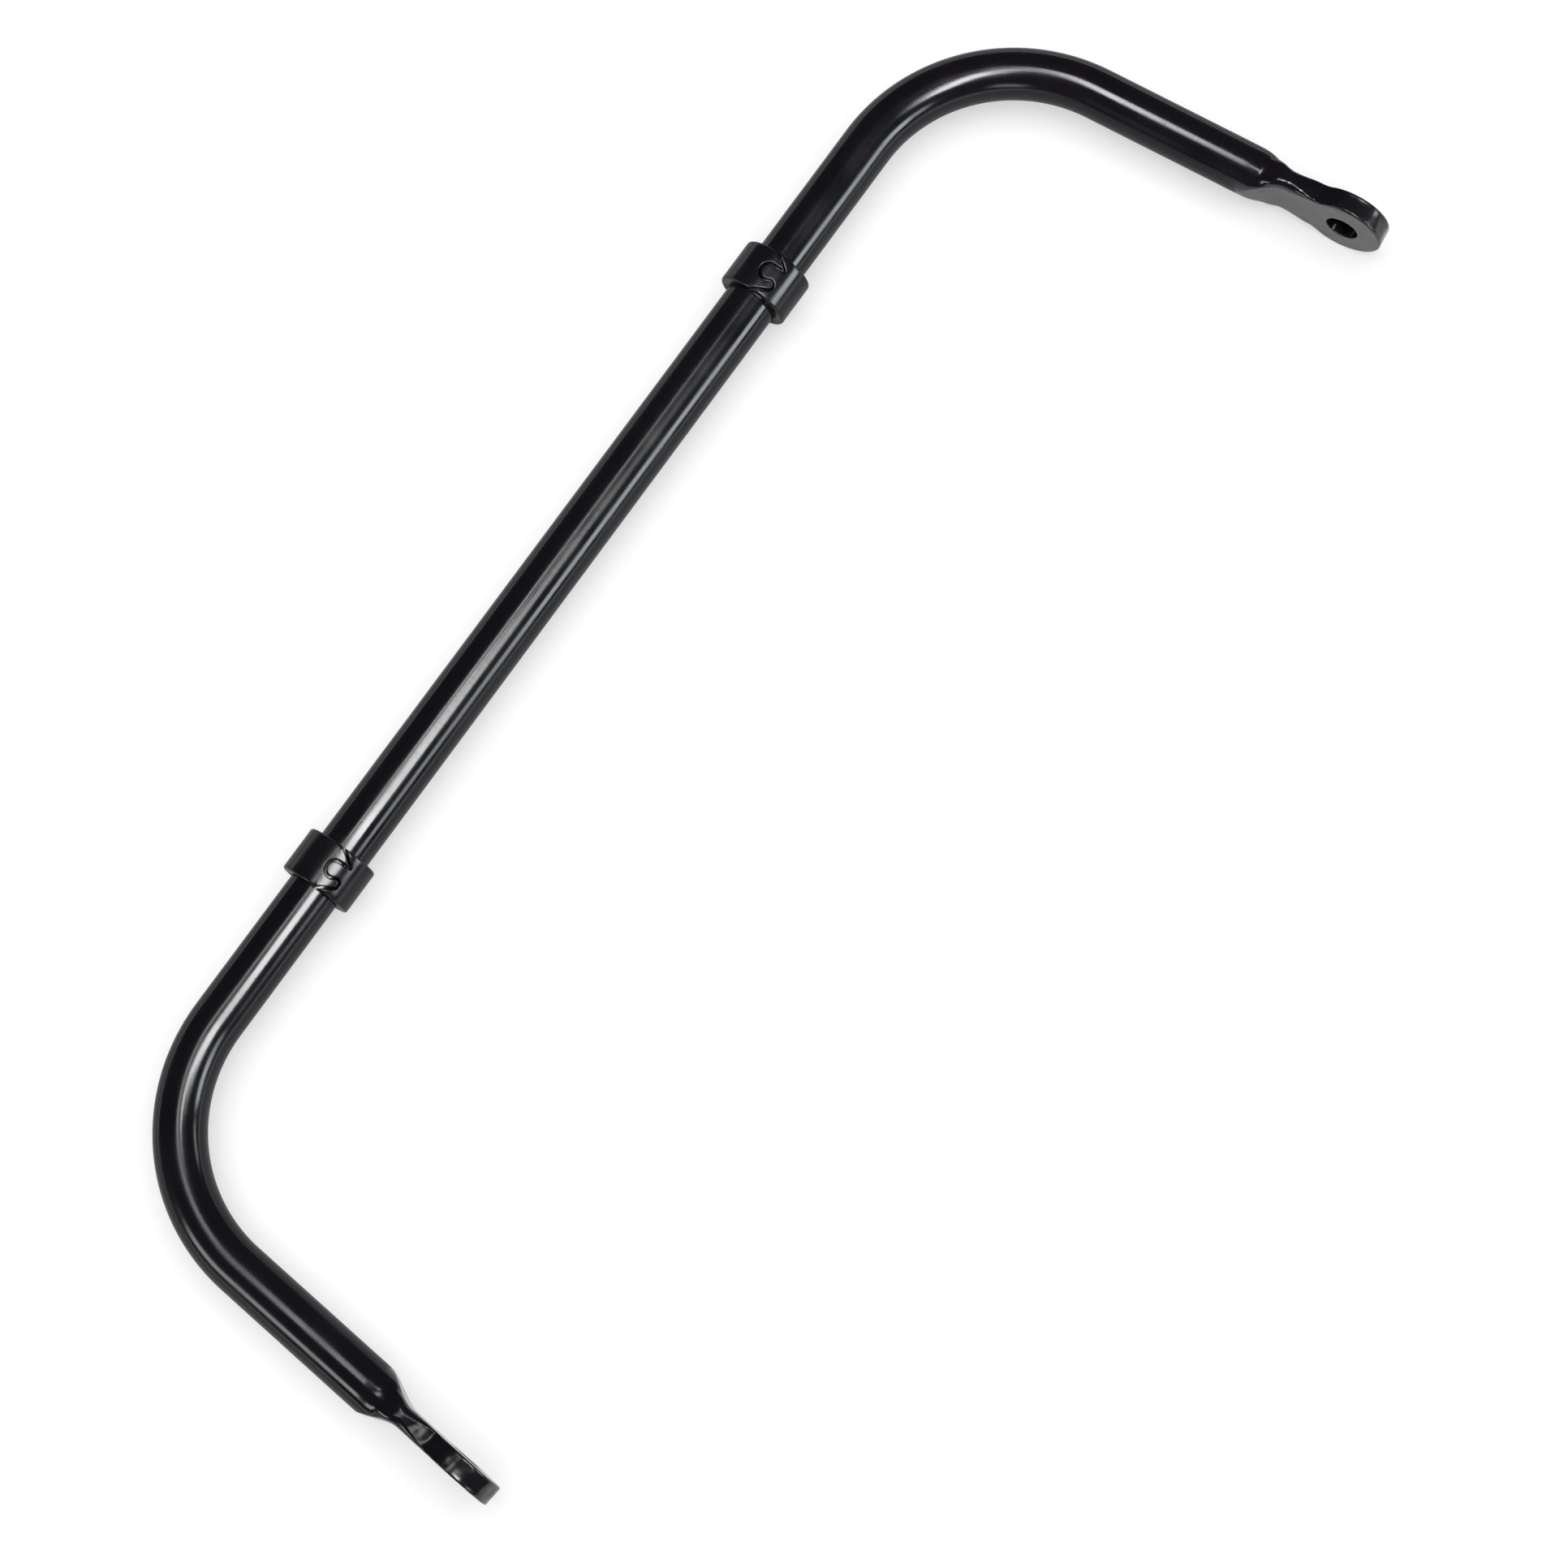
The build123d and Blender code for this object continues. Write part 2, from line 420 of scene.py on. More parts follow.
def ease(x, low, high):
    """0 below low, 1 above high, and smooth between."""
    t = min(max((x - low) / (high - low), 0), 1)
    return t * t * (3 - 2 * t)


def eased_along(u, span):
    """ease() between two distances behind the hole."""
    return ease(u, -span[0], -span[1])


def pressed(u):
    """Half thickness that the dies leave at distance u (negative is towards the bar)."""
    t = min(max((u + SHOULDER) / (SHOULDER - FLAT), 0), 1)
    run = SHOULDER - FLAT
    h00, h10 = 2 * t**3 - 3 * t**2 + 1, t**3 - 2 * t**2 + t
    h01, h11 = -2 * t**3 + 3 * t**2, t**3 - t**2
    return h00 * BAR_R + h10 * BITE_SLOPE * run + h01 * HALF_T + h11 * FLAT_SLOPE * run


print("half thickness: bar %.4f, flat %.4f" % (pressed(-SHOULDER), pressed(-FLAT)))

# %% [markdown]
# ### One cross-section
# A quarter of the section is worked out and then mirrored twice, because the
# two dies and the two rims are alike. Every section has the same number of
# points, so that the sections can be joined by plain four-sided faces.

# %% Draw one ring of the forged end
def rim_profile(reach, half, radius):
    """From the rim's middle round to the start of the face: (distance across, height)."""
    wall = half - radius
    flat_steps = RIM_STEPS - ROUND_STEPS
    points = [(0.0, wall * i / flat_steps) for i in range(flat_steps)]
    for i in range(ROUND_STEPS + 1):
        a = math.pi / 2 * i / ROUND_STEPS
        points.append((radius * (1 - math.cos(a)), wall + radius * math.sin(a)))
    return [(reach - inset, height) for inset, height in points]


def ring(u):
    """One cross-section as SIDES points (across, up from the flat), from the +across rim round."""
    half, flatness = pressed(u), eased_along(u, FLATTENS)
    reach = BAR_R + (WAIST - BAR_R) * eased_along(u, WIDENS)
    rim = rim_profile(reach, half, RIM_ROUND + RIM_EXTRA * (1 - eased_along(u, TRIMMED)))
    start, face_steps = rim[-1][0], QUARTER - RIM_STEPS
    flat = rim + [(start * (1 - i / face_steps), half) for i in range(1, face_steps + 1)]
    quarter = []
    for i in range(QUARTER + 1):
        a = math.pi / 2 * i / QUARTER
        w, n = reach * math.cos(a), BAR_R * math.sin(a)
        if half < BAR_R:              # soft minimum of the round bar and the die
            gap = max(DIE_ROUND - abs(n - half), 0) / DIE_ROUND
            n = min(n, half) - gap * gap * DIE_ROUND / 4 * ease(BAR_R - half, 0, DIE_BITE)
        quarter.append((w + (flat[i][0] - w) * flatness, n + (flat[i][1] - n) * flatness))
    back = quarter[:-1]
    loop = back + [(-w, n) for w, n in quarter[:0:-1]]
    return loop + [(-w, -n) for w, n in back] + [(w, -n) for w, n in quarter[:0:-1]]


print("one ring has", len(ring(-SHOULDER)), "points")

# %% [markdown]
# ### The trimmed outline of the eye
# The trimming die cuts a round head with a small hollow on each side where it
# runs into the waist. Its outline is three arcs that touch each other, and
# each point keeps its outward direction, which the rim's rounding will need.

# %% Draw the outline from the waist round the tip
HOLLOW_STEPS, EYE_STEPS = 6, 96


def eye_outline():
    """Where the plate starts, and its outline as (point, outward normal)."""
    centre_w = WAIST + HOLLOW_R
    centre_u = -math.sqrt((EYE_R + HOLLOW_R) ** 2 - centre_w ** 2)
    meet = math.atan2(centre_w, centre_u)
    points = []
    for i in range(HOLLOW_STEPS):
        a = math.pi / 2 + (meet - math.pi / 2) * i / HOLLOW_STEPS
        out = Vector((math.cos(a), math.sin(a)))
        points.append((Vector((centre_u, centre_w)) - out * HOLLOW_R, out))
    for i in range(EYE_STEPS + 1):
        a = meet - 2 * meet * i / EYE_STEPS
        out = Vector((math.cos(a), math.sin(a)))
        points.append((out * EYE_R, out))
    for point, out in points[HOLLOW_STEPS - 1::-1]:
        points.append((Vector((point.x, -point.y)), Vector((out.x, -out.y))))
    return centre_u, points


cut, outline = eye_outline()
print("outline has", len(outline), "points and starts", round(-cut, 4), "behind the hole")

# %% [markdown]
# ### The skin of one forged end
# The end has four parts: the pressed neck, the rim, the two faces and the
# wall of the hole. Each is rows of points with faces between them, and each
# point carries its wear, so a small class collects points, wear and faces.

# %% Collect points, wear and faces
class Skin:
    """A mesh in the making: points, a wear value for each, and faces."""

    def __init__(self):
        self.points, self.worn, self.faces = [], [], []

    def patch(self, points, worn, faces):
        """Adds points and the faces between them."""
        start = len(self.points)
        self.points += points
        self.worn += worn
        self.faces += [tuple(start + i for i in face) for face in faces]

    def strip(self, rows, closed=False):
        """Adds faces between rows of (point, wear). closed joins each row's ends."""
        count = len(rows[0])
        faces = []
        for r in range(len(rows) - 1):
            for i in range(count if closed else count - 1):
                a, b = r * count + i, r * count + (i + 1) % count
                faces.append((a, b, b + count, a + count))
        self.patch([point for row in rows for point, wear in row],
                   [wear for row in rows for point, wear in row], faces)


print("a skin starts with", len(Skin().points), "points")

# %% [markdown]
# ### The neck and the rim
# The neck is the rings drawn above. The rim carries one rounded profile along
# the outline. Each end is built in its own frame: x to the tip, y across, z
# through the hole.

# %% Rows of the neck and the rim
END_RINGS = 48
NECK_WEAR, RIM_WEAR, EDGE_WEAR = 0.35, 0.6, 1.0
NECK_WEARS = 36 * MM, 28 * MM         # the wear sets in here, behind the hole


def neck_rows():
    """Rings from the round bar to where the plate starts."""
    stations = [-JOIN_L + (JOIN_L + cut) * k / END_RINGS for k in range(END_RINGS + 1)]
    return [[((u, w, n), NECK_WEAR * eased_along(u, NECK_WEARS)) for w, n in ring(u)]
            for u in stations]


def rim_rows():
    """The rim's profile, from one face to the other, at each point of the outline."""
    full = [(-inset, height) for inset, height in rim_profile(0.0, HALF_T, RIM_ROUND)]
    both = [(inset, -height) for inset, height in full[:0:-1]] + full
    return [[((p.x - out.x * inset, p.y - out.y * inset, height),
              EDGE_WEAR if inset > 0 else RIM_WEAR) for inset, height in both]
            for p, out in outline]


print("neck:", len(neck_rows()), "rings, rim:", len(rim_rows()), "sections")

# %% [markdown]
# ### The faces and the hole
# The faces could be filled with triangles, but rays from the hole give even
# four-sided faces, which shade cleanly. The hole's lips are rounded, as they
# are on a drilled hole once its burr is taken off.

# %% Rows of the faces and the hole, and the whole end
RAY_STEPS, LIP_STEPS, HOLE_WEAR = 12, 4, 0.3
LIP_R = HOLE_R + HOLE_ROUND


def face_edge():
    """The flat face's boundary: along the outline and back across the last ring."""
    steps, start_w = 2 * (QUARTER - RIM_STEPS), WAIST - RIM_ROUND
    edge = [Vector((p.x - out.x * RIM_ROUND, p.y - out.y * RIM_ROUND)) for p, out in outline]
    return edge + [Vector((cut, -start_w + 2 * start_w * i / steps)) for i in range(1, steps)]


def face_rows(edge, height):
    """Rays from the hole's lip out to the face's boundary."""
    rays = []
    for p in edge + edge[:1]:
        inner = p.normalized() * LIP_R
        rays.append([((*inner.lerp(p, t / RAY_STEPS), height), 0.0)
                     for t in range(RAY_STEPS + 1)])
    return rays


def hole_rows(edge):
    """The hole's wall, with both lips rounded."""
    lips = []
    for i in range(LIP_STEPS + 1):
        a = math.pi / 2 * i / LIP_STEPS
        lips.append((LIP_R - HOLE_ROUND * math.sin(a), HALF_T - HOLE_ROUND * (1 - math.cos(a))))
    return [[((*(p.normalized() * r), h), HOLE_WEAR) for p in edge]
            for r, h in lips + [(r, -h) for r, h in lips[::-1]]]


forged = Skin()
forged.strip(neck_rows(), closed=True)
forged.strip(rim_rows())
for up in (1, -1):
    forged.strip(face_rows(face_edge(), up * HALF_T))
forged.strip(hole_rows(face_edge()), closed=True)
print("one forged end:", len(forged.points), "points", len(forged.faces), "faces")

# %% [markdown]
# ## From a skin to an object
# The bar and the collars all end as one mesh object each. Its doubled points
# are merged, its faces are turned outwards, and edges that are left open are
# counted, because a closed solid has none.

# %% Make a mesh object from a skin
MERGE_WITHIN = 0.004 * MM


def mesh_object(name, points, polygons, paint):
    """A new mesh object at the origin, in one paint."""
    mesh = bpy.data.meshes.new(name)
    mesh.from_pydata([tuple(p) for p in points], [], polygons)
    mesh.materials.append(paint)
    obj = bpy.data.objects.new(name, mesh)
    bpy.context.scene.collection.objects.link(obj)
    return obj


def wear_object(name, skin, paint):
    """A mesh object from a skin, with its wear as the attribute that the paint reads."""
    obj = mesh_object(name, skin.points, skin.faces, paint)
    obj.data.attributes.new("worn", "FLOAT", "POINT").data.foreach_set("value", skin.worn)
    return obj


def merge_and_face_out(obj):
    """Merges doubled points, turns every face outwards and shades it smooth."""
    work = bmesh.new()
    work.from_mesh(obj.data)
    bmesh.ops.remove_doubles(work, verts=work.verts, dist=MERGE_WITHIN)
    bmesh.ops.recalc_face_normals(work, faces=work.faces)
    open_edges = sum(1 for e in work.edges if not e.is_manifold)
    work.to_mesh(obj.data)
    work.free()
    for polygon in obj.data.polygons:
        polygon.use_smooth = True
    print(obj.name, "points", len(obj.data.vertices), "open edges", open_edges)


print("doubled points are merged within", MERGE_WITHIN / MM, "mm")

# %% [markdown]
# ## One bar from three skins
# On the real bar the ends are the same steel, with no joint. A boolean union
# could fuse the skins but would leave slivers. Here they already meet point
# for point, so they only go into one mesh.

# %% Join the bar and its ends
def placed(side, point):
    """A forged end's point in the CAD's frame."""
    out, up = HEADING[side], Vector((0, 0, 1))
    through = out.cross(up) * side
    u, w, n = point
    return EYE[side] + out * u + up * w + through * n


bar_skin = Skin()
bar_skin.patch(bar_points, [0.0] * len(bar_points), bar_faces)
for side in (-1, 1):
    bar_skin.patch([placed(side, p) for p in forged.points], forged.worn, forged.faces)
bar = wear_object("painted_bar", bar_skin, bar_paint)
merge_and_face_out(bar)

# %% [markdown]
# ### The uneven skin of a forging
# A forging is never quite flat: it has slow swells from the dies and, round
# the rim, the facets of the trimming tool. A bump would bend reflections but
# leave the outline ruler-straight, so the points themselves are pushed in
# along their normals. The push fades out before the round bar begins.

# %% Give the forgings their uneven skin
SWELL = 95, 0.10                      # noise cells per metre, and height in mm
RIPPLE = 260, 0.05
FACET = 190, 0.55
SINK = 0.12                           # in mm; keeps the swells inside the CAD's box
SKIN_FADES = 44 * MM, 34 * MM         # behind the hole


def forge_skin(obj):
    """Pushes the forged ends' points along their normals, within a few tenths of a millimetre."""
    mesh = obj.data
    places = [v.co.copy() for v in mesh.vertices]
    normals = [v.normal.copy() for v in mesh.vertices]
    moved = 0
    for i, (place, normal) in enumerate(zip(places, normals)):
        side = 1 if place.x > 0 else -1
        back = (place - EYE[side]).dot(HEADING[side])
        amount = eased_along(back, SKIN_FADES)
        if amount == 0 or abs(place.x) < CORNER_X - BEND_R:
            continue
        slow = (noise.noise(place * SWELL[0]) * SWELL[1]
                + noise.noise(place * RIPPLE[0]) * RIPPLE[1])
        rim = 1 - abs(normal.x * HEADING[side].y - normal.y * HEADING[side].x)
        facet = noise.voronoi(place * FACET[0])[0][0] * FACET[1] * rim
        places[i] = place + normal * ((slow - SINK - facet) * amount * MM)
        moved += 1
    mesh.vertices.foreach_set("co", [x for place in places for x in place])
    mesh.update()
    print("forging noise on", moved, "points")


forge_skin(bar)
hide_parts("sway_bar")
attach(bar, "root")

# %% [markdown]
# ## The stop collars
# Each collar starts as a flat strip whose two ends are cut like pieces of a
# jigsaw. It is rolled round the bar, the ends are pressed into each other and
# the ring is crimped tight. The seam that is left comes in from one edge on a
# slant, turns a sharp corner, runs round a knob, back round a smaller hook and
# out on another slant. A boolean cut would leave ragged triangles beside it.
# So the strip is built flat, as the real one is, and then rolled up.

# %% Sizes of a collar
collar_low, collar_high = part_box("stop_collar_right")
COLLAR_X = (collar_low.x + collar_high.x) / 2
HALF_W = (collar_high.x - collar_low.x) / 2
COLLAR_R = (collar_high.z - collar_low.z) / 2
BORE_R = BAR_R + 0.03 * MM
EDGE_ROUND = 0.9 * MM
SEAM_TILT = {-1: math.radians(29), 1: math.radians(17)}   # lean towards the arms
KNOB_R, HOOK_R = 3.3 * MM, 1.9 * MM
KNOB_AT = Vector((0.4, -2.6)) * MM
HOOK_TURN = math.radians(217)         # how far the seam runs round the knob
CORNER_AT = Vector((4.0, 2.9)) * MM
MOUTH = -4.6 * MM                     # where the seam leaves either edge
# the rolled-over lips, in mm: offset from the seam's middle, and drop below the outside
SEAM_LIPS = [(0.45, 0.50), (0.48, 0.32), (0.54, 0.17), (0.63, 0.06), (0.76, 0.01), (0.92, 0)]
print("collar", round(HALF_W * 2, 4), "wide, outer radius", round(COLLAR_R, 4))

# %% [markdown]
# ### The seam's middle line
# The line is straight runs and arcs, as the tool that cuts the strip would
# follow them. It could be a smooth curve through a few points, but then the
# corner would bulge and the knob wouldn't be round.

# %% Round a corner
RUN_SHARE = 0.45                      # a rounding takes at most this share of a run
MIN_ROUND_STEPS = 8


def rounded(corners, radius, step):
    """A polyline with its corners rounded and points every step."""
    line = [corners[0]]
    for before, corner, after in zip(corners, corners[1:], corners[2:]):
        a, b = (before - corner).normalized(), (after - corner).normalized()
        half = a.angle(b) / 2
        trim = min(radius / math.tan(half), (before - corner).length * RUN_SHARE,
                   (after - corner).length * RUN_SHARE)
        r = trim * math.tan(half)
        centre = corner + (a + b).normalized() * (r / math.sin(half))
        start, stop = corner + a * trim - centre, corner + b * trim - centre
        turn = start.angle_signed(stop)
        count = max(int(abs(turn) * r / step), MIN_ROUND_STEPS)
        for i in range(count + 1):
            t = -turn * i / count
            line.append(centre + Vector((start.x * math.cos(t) - start.y * math.sin(t),
                                         start.x * math.sin(t) + start.y * math.cos(t))))
    line.append(corners[-1])
    dense = [line[0]]
    for a, b in zip(line, line[1:]):
        count = max(int((b - a).length / step), 1)
        dense += [a.lerp(b, i / count) for i in range(1, count + 1)]
    return dense


print("a rounded corner has at least", MIN_ROUND_STEPS + 1, "points")

# %% [markdown]
# With the corner rounded, the rest of the line is two arcs and a straight run.
# The left run touches the hook without a kink, so its slope is worked out.

# %% Draw the seam as one line
CORNER_ROUND, SEAM_STEP = 0.3 * MM, 0.25 * MM
KNOB_STEPS, HOOK_STEPS, LEAD_STEPS = 44, 24, 24


def arc(centre, radius, start, sweep, steps):
    """Points on an arc, the first one left out."""
    angles = [start + sweep * (i + 1) / steps for i in range(steps)]
    return [centre + Vector((math.cos(t), math.sin(t))) * radius for t in angles]


def seam_line():
    """(along the bar, round the collar), from the right edge to the left one."""
    hook = KNOB_AT + Vector((math.cos(HOOK_TURN), -math.sin(HOOK_TURN))) * (KNOB_R + HOOK_R)
    mouth = Vector((-HALF_W, MOUTH))
    reach = hook - mouth
    slope = math.atan2(reach.y, reach.x) + math.asin(HOOK_R / reach.length)
    line = rounded([Vector((HALF_W, MOUTH)), CORNER_AT, KNOB_AT + Vector((KNOB_R, 0))],
                   CORNER_ROUND, SEAM_STEP)
    line += arc(KNOB_AT, KNOB_R, 0, -HOOK_TURN, KNOB_STEPS)
    start = math.pi - HOOK_TURN
    line += arc(hook, HOOK_R, start, slope + math.pi / 2 - start, HOOK_STEPS)
    touch = line[-1]
    return line + [touch.lerp(mouth, (i + 1) / LEAD_STEPS) for i in range(LEAD_STEPS)]


seam = seam_line()
print("seam points:", len(seam))

# %% [markdown]
# ### Lines beside the seam
# The cut edges of the real strip are rolled over a little, and that is what
# catches the light. So the seam needs lines that run beside it at several
# distances. Moving each point sideways does that, apart from the inside of
# the sharp corner, where the moved points would cross and are drawn together.

# %% Offset the seam
def corner_meeting(distance):
    """Where the offsets of the two runs meet inside the corner, and how much of each is lost."""
    lead, side = seam[0] - CORNER_AT, KNOB_AT + Vector((KNOB_R, 0)) - CORNER_AT
    half = lead.angle(side) / 2
    inward = (lead.normalized() + side.normalized()).normalized()
    return CORNER_AT + inward * distance / math.sin(half), distance / math.tan(half)


def offset(line, distance):
    """The line moved sideways by distance, to its left, and cut off at the collar's edges."""
    moved = []
    for before, point, after in zip(line[:1] + line, line, line[1:] + line[-1:]):
        along = (after - before).normalized()
        moved.append(point + Vector((-along.y, along.x)) * distance)
    if distance > 0:
        meeting, lost = corner_meeting(distance)
        moved = [meeting.copy() if (p - CORNER_AT).length < lost else m
                 for p, m in zip(line, moved)]
    for end, inner, edge in ((0, 1, HALF_W), (-1, -2, -HALF_W)):
        lead = moved[end] - moved[inner]
        mouth = moved[inner] + lead * ((edge - moved[inner].x) / lead.x)
        moved[end] = mouth
        moved = [mouth.copy() if p.x * edge > edge * edge else p for p in moved]
    return moved


LIP = SEAM_LIPS[-1][0] * MM
print("the seam's band is", round(2 * LIP, 5), "wide")

# %% [markdown]
# ### The rows of the strip
# The strip's points lie in rows, closer together at the two edges, where the
# real collar is rounded off and the mesh has to bend.

# %% Place the rows
FLAT_ROWS = 10
EDGE_ANGLES = (18, 36, 54, 72, 90)    # rows on the rounded edges, in degrees


def outer_radius(a):
    """The collar's radius at distance a from its middle, edges rounded."""
    past = max(abs(a) - (HALF_W - EDGE_ROUND), 0)
    return COLLAR_R - EDGE_ROUND + math.sqrt(max(EDGE_ROUND ** 2 - past ** 2, 0))


def strip_rows():
    """Distances along the bar at which the strip gets a row of points."""
    flat = HALF_W - EDGE_ROUND
    rows = [-flat + 2 * flat * i / FLAT_ROWS for i in range(FLAT_ROWS + 1)]
    for angle in EDGE_ANGLES:
        past = flat + EDGE_ROUND * math.sin(math.radians(angle))
        rows += [past, -past]
    return sorted(rows)


print("rows:", len(strip_rows()))

# %% [markdown]
# ### The flat strip
# Everything outside the seam's band is plain strip. A grid alone would run
# into the seam at odd angles. A constrained triangulation takes the rows'
# points and the band's two sides, and fills the space without a gap.

# %% Fill the strip with triangles
AROUND = 90                           # steps round the bar
RUN_ON = 11                           # steps that the seam is thought to run on past an edge
CLEAR_OF_BAND, SLACK = 0.25 * MM, 0.02 * MM
SAME_POINT = 1e-9


def seam_clearance():
    """A function that gives a point's distance to the seam, which runs on past the edges."""
    steps = range(1, RUN_ON + 1)
    beyond = [seam[0] + (seam[0] - seam[1]) * i for i in steps]
    beyond += [seam[-1] + (seam[-1] - seam[-2]) * i for i in steps]
    near = np.array([tuple(p) for p in seam + beyond])
    return lambda point: np.hypot(*(near - tuple(point)).T).min()


def flat_strip():
    """Points (along, round) and the triangles between them."""
    half_round, clearance, count = math.pi * COLLAR_R, seam_clearance(), len(seam)
    points = offset(seam, LIP) + offset(seam, -LIP)
    band_sides = [(start + i, start + i + 1) for start in (0, count) for i in range(count - 1)]
    for a in strip_rows():
        for i in range(AROUND + 1):
            c = -half_round + 2 * half_round * i / AROUND
            if clearance((a, c)) > LIP + CLEAR_OF_BAND:
                points.append(Vector((a, c)))
    corners, _, triangles = delaunay_2d_cdt(points, band_sides, [], 0, SAME_POINT)[:3]
    kept = []
    for t in triangles:
        middle = sum((corners[i] for i in t), Vector((0, 0))) / 3
        if clearance(middle) > LIP - SLACK:
            kept.append(tuple(t))
    return [tuple(p) for p in corners], kept


strip_points, strip_faces = flat_strip()
print("flat strip:", len(strip_points), "points", len(strip_faces), "triangles")

# %% [markdown]
# ### Rolling it up
# Rolling is one formula: the distance round the strip becomes an angle. The
# outside and the bore share the triangles, and the seam's walls join them.

# %% Roll the strip round the bar
EDGE_SHARE = 0.6                      # the outer share of the edge's rounding that wears
COLLAR_EDGE_WEAR, SEAM_WEAR = 0.6, 0.15
WALL_DEPTHS = (0.45, 1.0)             # shares of the way from the lip to the bore


def rolled(a, c, radius, tilt):
    """A flat point on the collar: a along the bar, c round it towards the arms."""
    angle = tilt + c / COLLAR_R
    return Vector((a, -math.sin(angle) * radius, math.cos(angle) * radius))


def seam_walls(hand, tilt):
    """Rows from the strip's outside over the lip and down to the bore, on one side."""
    rows = []
    for distance, drop in SEAM_LIPS[::-1]:
        line = offset(seam, hand * distance * MM)
        rows.append([rolled(p.x, p.y, outer_radius(p.x) - drop * MM, tilt) for p in line])
    inner, drop = offset(seam, hand * SEAM_LIPS[0][0] * MM), SEAM_LIPS[0][1] * MM
    for depth in WALL_DEPTHS:
        row = []
        for p in inner:
            top = outer_radius(p.x)
            row.append(rolled(p.x, p.y, top - drop + (BORE_R - top + drop) * depth, tilt))
        rows.append(row)
    rows.append([rolled(p.x, p.y, BORE_R, tilt) for p in offset(seam, hand * LIP)])
    return [[(point, SEAM_WEAR) for point in row] for row in rows]


def collar_skin(tilt):
    """The outside, the bore and both sides of the seam."""
    skin = Skin()
    worn_from = HALF_W - EDGE_ROUND * EDGE_SHARE
    worn = [COLLAR_EDGE_WEAR if abs(a) > worn_from else 0.0 for a, c in strip_points]
    for radius_of in (outer_radius, lambda a: BORE_R):
        skin.patch([rolled(a, c, radius_of(a), tilt) for a, c in strip_points],
                   worn, strip_faces)
    for hand in (1, -1):
        skin.strip(seam_walls(hand, tilt))
    return skin


print("one rolled collar:", len(collar_skin(0).points), "points")

# %% [markdown]
# ### Closing and placing the collars
# What is still open is the two side faces. Each is a flat ring with a gap, so
# it is simply filled. Both collars are the same piece, turned by their tilt.

# %% Make both collars
ON_EDGE = 0.01 * MM


def close_side_faces(obj):
    """Closes the two open ends between the outer edge and the bore."""
    work = bmesh.new()
    work.from_mesh(obj.data)
    for sign in (-1, 1):
        rim = [e for e in work.edges if e.is_boundary
               and all(abs(v.co.x - sign * HALF_W) < ON_EDGE for v in e.verts)]
        bmesh.ops.triangle_fill(work, edges=rim, use_beauty=True)
    work.to_mesh(obj.data)
    work.free()


def make_collar(name, side, node):
    """One crimped collar in its place on the bar."""
    obj = wear_object(name, collar_skin(SEAM_TILT[side]), collar_paint)
    merge_and_face_out(obj)
    close_side_faces(obj)
    merge_and_face_out(obj)
    obj.data.transform(Matrix.Translation((side * COLLAR_X, BAR_Y, BAR_Z)))
    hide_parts(node)
    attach(obj, "root")
    return obj


collar_left = make_collar("crimped_collar_left", -1, "stop_collar_left")
collar_right = make_collar("crimped_collar_right", 1, "stop_collar_right")

# %% [markdown]
# ## Table, light and camera
# The bar lies on a plain white table. A curved backdrop would do as well, but
# seen from above a large flat table looks the same and is simpler. It is
# matt, so that it shows the bar's soft shadow and no reflection.

# %% Lay the table
TABLE_REACH = 6
TABLE_WHITE, TABLE_ROUGH = (0.93, 0.935, 0.93, 1), 0.75


def rectangle(x0, x1, y0, y1, z):
    """The corners of a flat rectangle that faces up."""
    return [(x0, y0, z), (x1, y0, z), (x1, y1, z), (x0, y1, z)]


white = bpy.data.materials.new("white_table")
white.use_nodes = True
table_shader = white.node_tree.nodes["Principled BSDF"]
table_shader.inputs["Base Color"].default_value = TABLE_WHITE
table_shader.inputs["Roughness"].default_value = TABLE_ROUGH
table = mesh_object("table", rectangle(-TABLE_REACH, TABLE_REACH, -TABLE_REACH, TABLE_REACH, 0),
                    [(0, 1, 2, 3)], white)
print("table", 2 * TABLE_REACH, "m square")

# %% [markdown]
# ### A dark sheet that paints shade into the reflections
# Black gloss on a white table turns grey with the table's reflection. Here a
# dark sheet beside the bar paints shade into the bar's reflections. The camera
# doesn't see it, and only reflections do. Black card would make the bar's
# flanks pitch dark, so the sheet lets some of the table through. It ends short
# of the eyes, whose flat faces should mirror the white table.

# %% Lay the dark sheet that paints shade into the reflections
FILM_CLEAR = 0.40                     # how much of the table shows through
FILM_X, FILM_BACK, FILM_FRONT, FILM_Z = 0.45, 0.26, -0.040, 0.5 * MM

# The sheet's black is painted reflection shade: it darkens the bar's gloss and no camera ray sees
# it.
reflection_shade_paint = bpy.data.materials.new("painted_reflection_shade")
reflection_shade_paint.use_nodes = True
film_tree = reflection_shade_paint.node_tree
clear = add(film_tree, "ShaderNodeBsdfTransparent", (-300, 100))
black = add(film_tree, "ShaderNodeBsdfDiffuse", (-300, -100), Color=(0, 0, 0, 1))
film_mix = add(film_tree, "ShaderNodeMixShader", (0, 0))
for socket, value in zip(film_mix.inputs, (FILM_CLEAR, black.outputs[0], clear.outputs[0])):
    feed(film_tree, socket, value)
feed(film_tree, film_tree.nodes["Material Output"].inputs["Surface"], film_mix.outputs[0])
reflection_shade_sheet = mesh_object("reflection_shade_sheet", rectangle(-FILM_X, FILM_X, FILM_FRONT, FILM_BACK, FILM_Z),
                   [(0, 1, 2, 3)], reflection_shade_paint)
# Only glossy rays see the sheet, so its painted shade shows in the bar's reflections and nowhere
# else.
reflection_shade_sheet.visible_camera = reflection_shade_sheet.visible_diffuse = reflection_shade_sheet.visible_shadow = False
reflection_shade_sheet.visible_transmission = False
print("reflection_shade_sheet", 2 * FILM_X, "by", round(FILM_BACK - FILM_FRONT, 3), "m")

